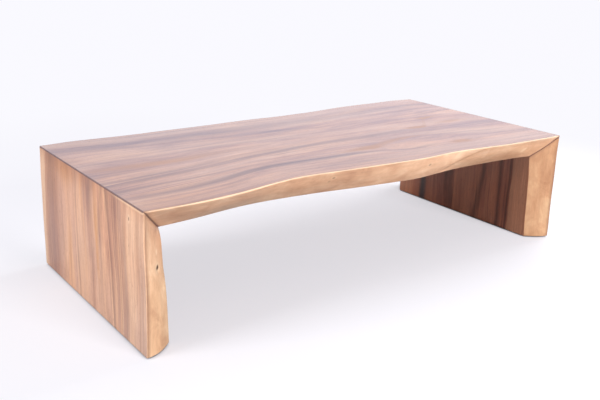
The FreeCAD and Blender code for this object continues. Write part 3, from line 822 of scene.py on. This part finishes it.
def saw_slab(name, node, along_limits, place, unfold, spacing, hollows=(), foot=None):
    """Shapes one piece of the board after its solid, with worn live edges, round arrises and mitred ends.

    along_limits gives both ends of the piece at a depth below the outer face, place turns a length along
    the piece and a depth into X and Z, and unfold turns that length into a place on the unfolded board.
    """
    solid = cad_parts[node]
    length = float(along_limits(np.array(0.0))[1] - along_limits(np.array(0.0))[0])
    shares = station_shares(length, spacing)
    last_station, last_column = len(shares) - 1, len(column_shares) - 1

    def stations(depth):
        first, last = along_limits(np.array(depth))
        return first + (last - first) * np.clip(shares, inside_the_end, 1 - inside_the_end)

    blank = slab_blank(name, last_station, last_column)
    count = len(blank.data.vertices)
    raw = np.empty(count * 3)
    blank.data.vertices.foreach_get("co", raw)
    raw = raw.reshape(-1, 3)
    station = np.rint((raw[:, 0] + 1) / 2 * last_station).astype(int)
    column = np.rint((raw[:, 1] + 1) / 2 * last_column).astype(int)
    row = np.rint(-raw[:, 2]).astype(int)

    front = live_edge_rows(solid, place, stations, unfold, -1, hollows)
    back = live_edge_rows(solid, place, stations, unfold, 1, hollows)
    share = column_shares[column]
    across = front[0][station, row] * (1 - share) + back[0][station, row] * share
    depth = front[1][station, row] * (1 - share) + back[1][station, row] * share
    first, last = along_limits(depth)
    along = first + (last - first) * shares[station]
    outer_stations = stations(0.0)
    outer_front = np.interp(along, outer_stations, front[2])
    outer_back = np.interp(along, outer_stations, back[2])
    from_seam = np.minimum(last - along, 1.0 if foot else along - first)

    if foot:
        up = np.clip(foot["radius"] - (along - foot["level"]), 0, foot["radius"])
        inset = foot["radius"] - np.sqrt(foot["radius"] ** 2 - up**2)
        middle = (outer_front + outer_back) / 2
        across = middle + (across - middle) * (1 - inset / ((outer_back - outer_front) / 2))
        half_depth = board_thickness / 2
        depth = half_depth + (depth - half_depth) * (1 - inset / half_depth)

    x, z = place(along, depth)
    shaped = np.stack([x, across, z], axis=1)
    blank.data.vertices.foreach_set("co", shaped.ravel())

    # What the wood's figure is read from: the place on the unfolded board, and the marks of the live edges
    on_board = ((across - outer_front) / (outer_back - outer_front) - 0.5) * board_width
    grain = np.stack([unfold(along), on_board, depth], axis=1)
    on_rim = (column == 0) | (column == last_column)
    from_outer = np.clip((row - 1) / (arris_steps - 2), 0, 1)
    from_inner = np.clip((row_count - row - 1) / (arris_steps - 2), 0, 1)
    live = np.where(on_rim, np.minimum(from_outer, from_inner), 0.0)
    # A painted highlight runs along the middle of the outer arris, and on the legs a painted shadow runs just
    # past it
    painted_highlight_line = np.clip(1.25 - np.abs(row - arris_steps / 2) / 1.9, 0, 1)
    painted_shadow_line = np.clip(1.5 - np.abs(row - arris_steps + 1) / 2, 0, 1) if foot else np.zeros(count)
    arris = np.where(on_rim, np.where(painted_shadow_line > 0, -painted_shadow_line, painted_highlight_line), 0.0)
    edge = np.stack([live, from_seam, arris], axis=1)
    for label, values in (("grain", grain), ("edge", edge)):
        attribute = blank.data.attributes.new(label, "FLOAT_VECTOR", "POINT")
        attribute.data.foreach_set("vector", values.astype(np.float32).ravel())

    bpy.ops.object.mode_set(mode="EDIT")
    bpy.ops.mesh.select_all(action="SELECT")
    bpy.ops.mesh.normals_make_consistent(inside=False)
    bpy.ops.object.mode_set(mode="OBJECT")
    bpy.ops.object.shade_smooth_by_angle(angle=smooth_below)
    blank.data.materials.append(lacquered)
    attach(blank, "root")
    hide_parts(node)


# The top
# The long middle piece of the board, face up, mitred at both ends. Its front live edge has a flat hollow
# towards the right, where the log had a bulge.

top_corner_radius = 0.0015
flat_place_start, flat_place_depth, flat_place_length = 0.262, 0.0028, 0.16
ridge_foot, ridge_lean, ridge_width = 0.075, 1.8, 0.02
set_back_by, set_back_length = 0.0045, 0.045


def top_limits(depth):
    reach = half_length - corner_setback(depth, top_corner_radius)
    return -reach, reach


def flat_place(unfolded, depth, outward):
    """The flat place on the front edge, below a ridge that climbs to the right."""
    if outward > 0:
        return 0.0
    past = unfolded - flat_place_start - (ridge_foot - depth) * ridge_lean
    if past < 0:
        return 0.0
    rise = min(past / ridge_width, 1.0)
    fade = max(min(depth / 0.012, (board_thickness - depth) / 0.008, 1.0), 0.0)
    return flat_place_depth * rise * rise * (3 - 2 * rise) * math.exp(-past / flat_place_length) * fade


def set_back(unfolded, depth, outward):
    """Where the top's front edge lies a little behind the left leg's, next to the mitre."""
    if outward > 0:
        return 0.0
    from_mitre = unfolded + half_length - depth
    middle = max(0.0, math.sin(math.pi * min(1.0, depth / board_thickness)))
    return set_back_by * middle * math.exp(-((from_mitre / set_back_length) ** 2))


saw_slab(
    "top_board",
    "top_slab",
    top_limits,
    lambda along, depth: (along, table_height - depth),
    lambda along: along,
    spacing=0.0042,
    hollows=(flat_place, set_back),
)

# The left leg
# The left end of the board, folded down at a mitre whose outer corner is sanded round. Its front edge has
# an open knot and a swelling below the mitre. It stands on nailed glides.

leg_corner_radius = 0.0035
foot_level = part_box("left_leg_slab")[0].z
foot_radius = 0.0022
knot_length, knot_width, knot_depth = 0.008, 0.0065, 0.004
swelling_place, swelling_reach, swelling_height = -0.872, 0.034, 0.0072
pinch_place, pinch_reach, pinch_depth = -0.950, 0.024, 0.0030


def leg_limits(depth):
    top = table_height - corner_setback(depth, leg_corner_radius)
    return np.full_like(top, foot_level), top


def knot_hollow(unfolded, depth, outward):
    """The open knot in the left leg's front edge."""
    if outward > 0:
        return 0.0
    away = math.hypot((unfolded - open_knot[0]) / knot_length, (depth - open_knot[2]) / knot_width)
    return knot_depth * math.exp(-away * away)


def swelling(unfolded, depth, outward):
    """The front edge bulges towards its inner face below the mitre, and draws in again above the knot."""
    if outward > 0:
        return 0.0
    below_mitre = max(0.0, min(1.0, (-unfolded - half_length - board_thickness / 2) / 0.016))
    bulge = swelling_height * math.exp(-(((unfolded - swelling_place) / swelling_reach) ** 2))
    pinch = pinch_depth * math.exp(-(((unfolded - pinch_place) / pinch_reach) ** 2))
    return (pinch - bulge) * math.sin(below_mitre * math.pi / 2) * min(1.0, depth / board_thickness)


saw_slab(
    "left_leg_board",
    "left_leg_slab",
    leg_limits,
    lambda along, depth: (depth - half_length, along),
    lambda along: along - table_height - half_length,
    spacing=0.0028,
    hollows=(knot_hollow, swelling),
    foot={"level": foot_level, "radius": foot_radius},
)

# The right leg
# The right end of the board, mitred, folded down and sanded round at its outer corner in the same way. It
# stands on three nailed glides of its own.

saw_slab(
    "right_leg_board",
    "right_leg_slab",
    leg_limits,
    lambda along, depth: (half_length - depth, along),
    lambda along: half_length + table_height - along,
    spacing=0.0032,
    foot={"level": foot_level, "radius": foot_radius},
)

# The mitre tenons
# Twelve loose beech tenons, six glued across each mitre. They are planed to thickness and rounded on their
# long edges, and their grain runs across the joint.


def beech(hand, turn):
    """Planed beech with its grain along the tenons of one mitre, which stand at 45 degrees."""
    material, tree, surface = new_material(f"beech {hand}")
    mapping = tree.nodes.new("ShaderNodeMapping")
    mapping.inputs["Rotation"].default_value = (0.0, math.radians(turn), 0.0)
    tree.links.new(tree.nodes.new("ShaderNodeTexCoord").outputs["Object"], mapping.inputs["Vector"])
    wood = mapping.outputs["Vector"]
    fibres, _ = fibres_at(tree, wood)
    tones = [(0.30, (0.46, 0.29, 0.16)), (0.50, (0.60, 0.42, 0.25)), (0.70, (0.70, 0.52, 0.34))]
    flecks = soft_step(tree, stretched_noise(tree, wood, (140.0, 900.0, 260.0), 1.0), 0.60, 0.70)
    colour = colour_mix(tree, times(tree, flecks, 0.5), ramp(tree, fibres, tones), (0.36, 0.20, 0.10))
    finish_surface(tree, surface, colour, scaled(tree, fibres, 0.2, 0.5), fibres, distance=0.0003)
    return material


def dress(node, material):
    """Gives a piece that keeps its own shape a better surface."""
    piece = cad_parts[node]
    piece.data.materials.clear()
    piece.data.materials.append(material)


for hand, turn in (("left", 45), ("right", -45)):
    material = beech(hand, turn)
    for number in range(1, 7):
        dress(f"{hand}_mitre_tenon_{number}", material)

# The glides
# Dark moulded nylon discs under the feet, three to a leg, that hold the end grain 3 mm off the floor. Each
# is nailed on through its middle and scuffed underneath.


def moulded_nylon():
    """Moulded nylon with a fine grit, worn paler where it slides on the floor."""
    material, tree, surface = new_material("moulded nylon")
    coordinates = tree.nodes.new("ShaderNodeTexCoord").outputs["Object"]
    grit = stretched_noise(tree, coordinates, (2600.0, 2600.0, 2600.0), 2.0)
    scuffs = stretched_noise(tree, coordinates, (900.0, 160.0, 400.0), 3.0, 0.6)
    height = add(tree, "SeparateXYZ", coordinates).node.outputs["Z"]
    worn = times(tree, soft_step(tree, height, 0.0012, 0.0), soft_step(tree, scuffs, 0.45, 0.65))
    colour = ramp(tree, grit, [(0.35, (0.030, 0.024, 0.020)), (0.65, (0.062, 0.051, 0.043))])
    colour = colour_mix(tree, times(tree, worn, 0.6), colour, (0.16, 0.145, 0.13))
    finish_surface(tree, surface, colour, scaled(tree, worn, 0.25, 0.42), grit)
    return material


nylon = moulded_nylon()
for hand in ("left", "right"):
    for where in ("front", "middle", "back"):
        dress(f"{hand}_{where}_glide", nylon)

# The glide nails
# Zinc-plated steel nails with flat heads, one up through each glide into a pilot hole in the leg. The
# plating has a faint spangle.


def zinc_plate():
    """Zinc plating on steel, with its faint spangle."""
    material, tree, surface = new_material("zinc plate")
    surface.inputs["Metallic"].default_value = 1.0
    coordinates = tree.nodes.new("ShaderNodeTexCoord").outputs["Object"]
    spangle = stretched_noise(tree, coordinates, (700.0, 700.0, 700.0), 3.0, 0.6)
    tones = [(0.35, (0.46, 0.46, 0.45)), (0.50, (0.57, 0.57, 0.58)), (0.65, (0.66, 0.67, 0.69))]
    finish_surface(tree, surface, ramp(tree, spangle, tones), scaled(tree, spangle, 0.3, 0.22))
    return material


zinc = zinc_plate()
for hand in ("left", "right"):
    for where in ("front", "middle", "back"):
        dress(f"{hand}_{where}_glide_nail", zinc)

# The floor, the light and the camera
# A plain white studio: a pale floor that fades into the white background, soft lamps to the left, in front
# and up on the right, and the camera where the photograph was taken.

floor_size = 60.0
contact_shadow_reach = 0.03
floor_fades_from, floor_fades_to = 0.9, 2.5
bpy.ops.object.select_all(action="DESELECT")
bpy.ops.mesh.primitive_plane_add(size=floor_size, location=(0, 0, 0))
floor = bpy.context.object
floor.name = "studio_floor"
pale = bpy.data.materials.new("pale floor")
pale.use_nodes = True
floor_tree = pale.node_tree
floor_tree.nodes.clear()
floor_out = floor_tree.nodes.new("ShaderNodeOutputMaterial")
contact = floor_tree.nodes.new("ShaderNodeAmbientOcclusion")
contact.inputs["Distance"].default_value = contact_shadow_reach
open_floor = soft_step(floor_tree, contact.outputs["AO"], 0.05, 0.75)
shaded = add(floor_tree, "BsdfDiffuse", (0.92, 0.92, 1.0))
glow = add(floor_tree, "Emission", (0.955, 0.950, 1.0), open_floor)
on_floor = floor_tree.nodes.new("ShaderNodeTexCoord").outputs["Object"]
from_table = add(floor_tree, "VectorMath", on_floor, operation="LENGTH").node.outputs["Value"]
far = soft_step(floor_tree, from_table, floor_fades_from, floor_fades_to)
seen = add(floor_tree, "MixShader", scaled(floor_tree, far, 0.45, 0.55), shaded, glow)
plain = add(floor_tree, "BsdfDiffuse", (0.54, 0.53, 0.54))
mirrored = add(floor_tree, "BsdfDiffuse", (0.42, 0.41, 0.42))
rays = floor_tree.nodes.new("ShaderNodeLightPath").outputs
unseen = add(floor_tree, "MixShader", rays["Is Glossy Ray"], plain, mirrored)
choice = add(floor_tree, "MixShader", rays["Is Camera Ray"], unseen, seen)
floor_tree.links.new(choice, floor_out.inputs["Surface"])
floor.data.materials.append(pale)

world = bpy.data.worlds.new("white studio")
bpy.context.scene.world = world
world.use_nodes = True
sky_tree = world.node_tree
sky_tree.nodes.clear()
sky_out = sky_tree.nodes.new("ShaderNodeOutputWorld")
room_light = add(sky_tree, "Background", (0.97, 0.98, 1.0), 0.30)
backdrop = add(sky_tree, "Background", (0.93, 0.94, 1.0), 1.0)
mirrored = add(sky_tree, "Background", (0.76, 0.82, 1.0), 1.0)
rays = sky_tree.nodes.new("ShaderNodeLightPath").outputs
lighting = add(sky_tree, "MixShader", rays["Is Glossy Ray"], room_light, mirrored)
choice = add(sky_tree, "MixShader", rays["Is Camera Ray"], lighting, backdrop)
sky_tree.links.new(choice, sky_out.inputs["Surface"])


def soft_lamp(name, size, place, target, power, colour):
    """A square soft box aimed at a point."""
    lamp = bpy.data.lights.new(name, "AREA")
    lamp.size = size
    lamp.energy = power
    lamp.color = colour
    box = bpy.data.objects.new(name, lamp)
    bpy.context.scene.collection.objects.link(box)
    box.location = place
    box.rotation_euler = (Vector(target) - Vector(place)).to_track_quat("-Z", "Y").to_euler()
    box.visible_glossy = False


warm_white, high_white = (1.0, 0.985, 0.96), (1.0, 0.985, 0.97)
soft_lamp("left_lamp", 3.0, place=(-7.0, 0.4, 2.2), target=(-0.2, 0, 0.2), power=520.0, colour=warm_white)
soft_lamp("front_lamp", 3.0, place=(1.0, -7.0, 2.2), target=(0.1, -0.3, 0.2), power=560.0, colour=warm_white)
soft_lamp("high_lamp", 1.6, place=(2.6, 0.3, 2.2), target=(0.7, 0, 0.38), power=76.0, colour=high_white)

lens_width_ratio = 722.1 / 600
yaw, pitch, roll = math.radians(39.01), math.radians(18.68), math.radians(2.75)
camera_place = Vector((-1.4858, -1.7425, 0.9407))
forward = Vector((math.sin(yaw) * math.cos(pitch), math.cos(yaw) * math.cos(pitch), -math.sin(pitch)))
level_right = Vector((math.cos(yaw), -math.sin(yaw), 0.0))
level_up = level_right.cross(forward)
right = math.cos(roll) * level_right + math.sin(roll) * level_up
up = -math.sin(roll) * level_right + math.cos(roll) * level_up
lens = bpy.data.cameras.new("camera")
lens.sensor_width = 36.0
lens.lens = lens_width_ratio * lens.sensor_width
lens.clip_end = 100.0
camera = bpy.data.objects.new("camera", lens)
bpy.context.scene.collection.objects.link(camera)
camera.matrix_world = Matrix.Translation(camera_place) @ Matrix((right, up, -forward)).transposed().to_4x4()
bpy.context.scene.camera = camera
bpy.context.scene.view_settings.view_transform = "Standard"
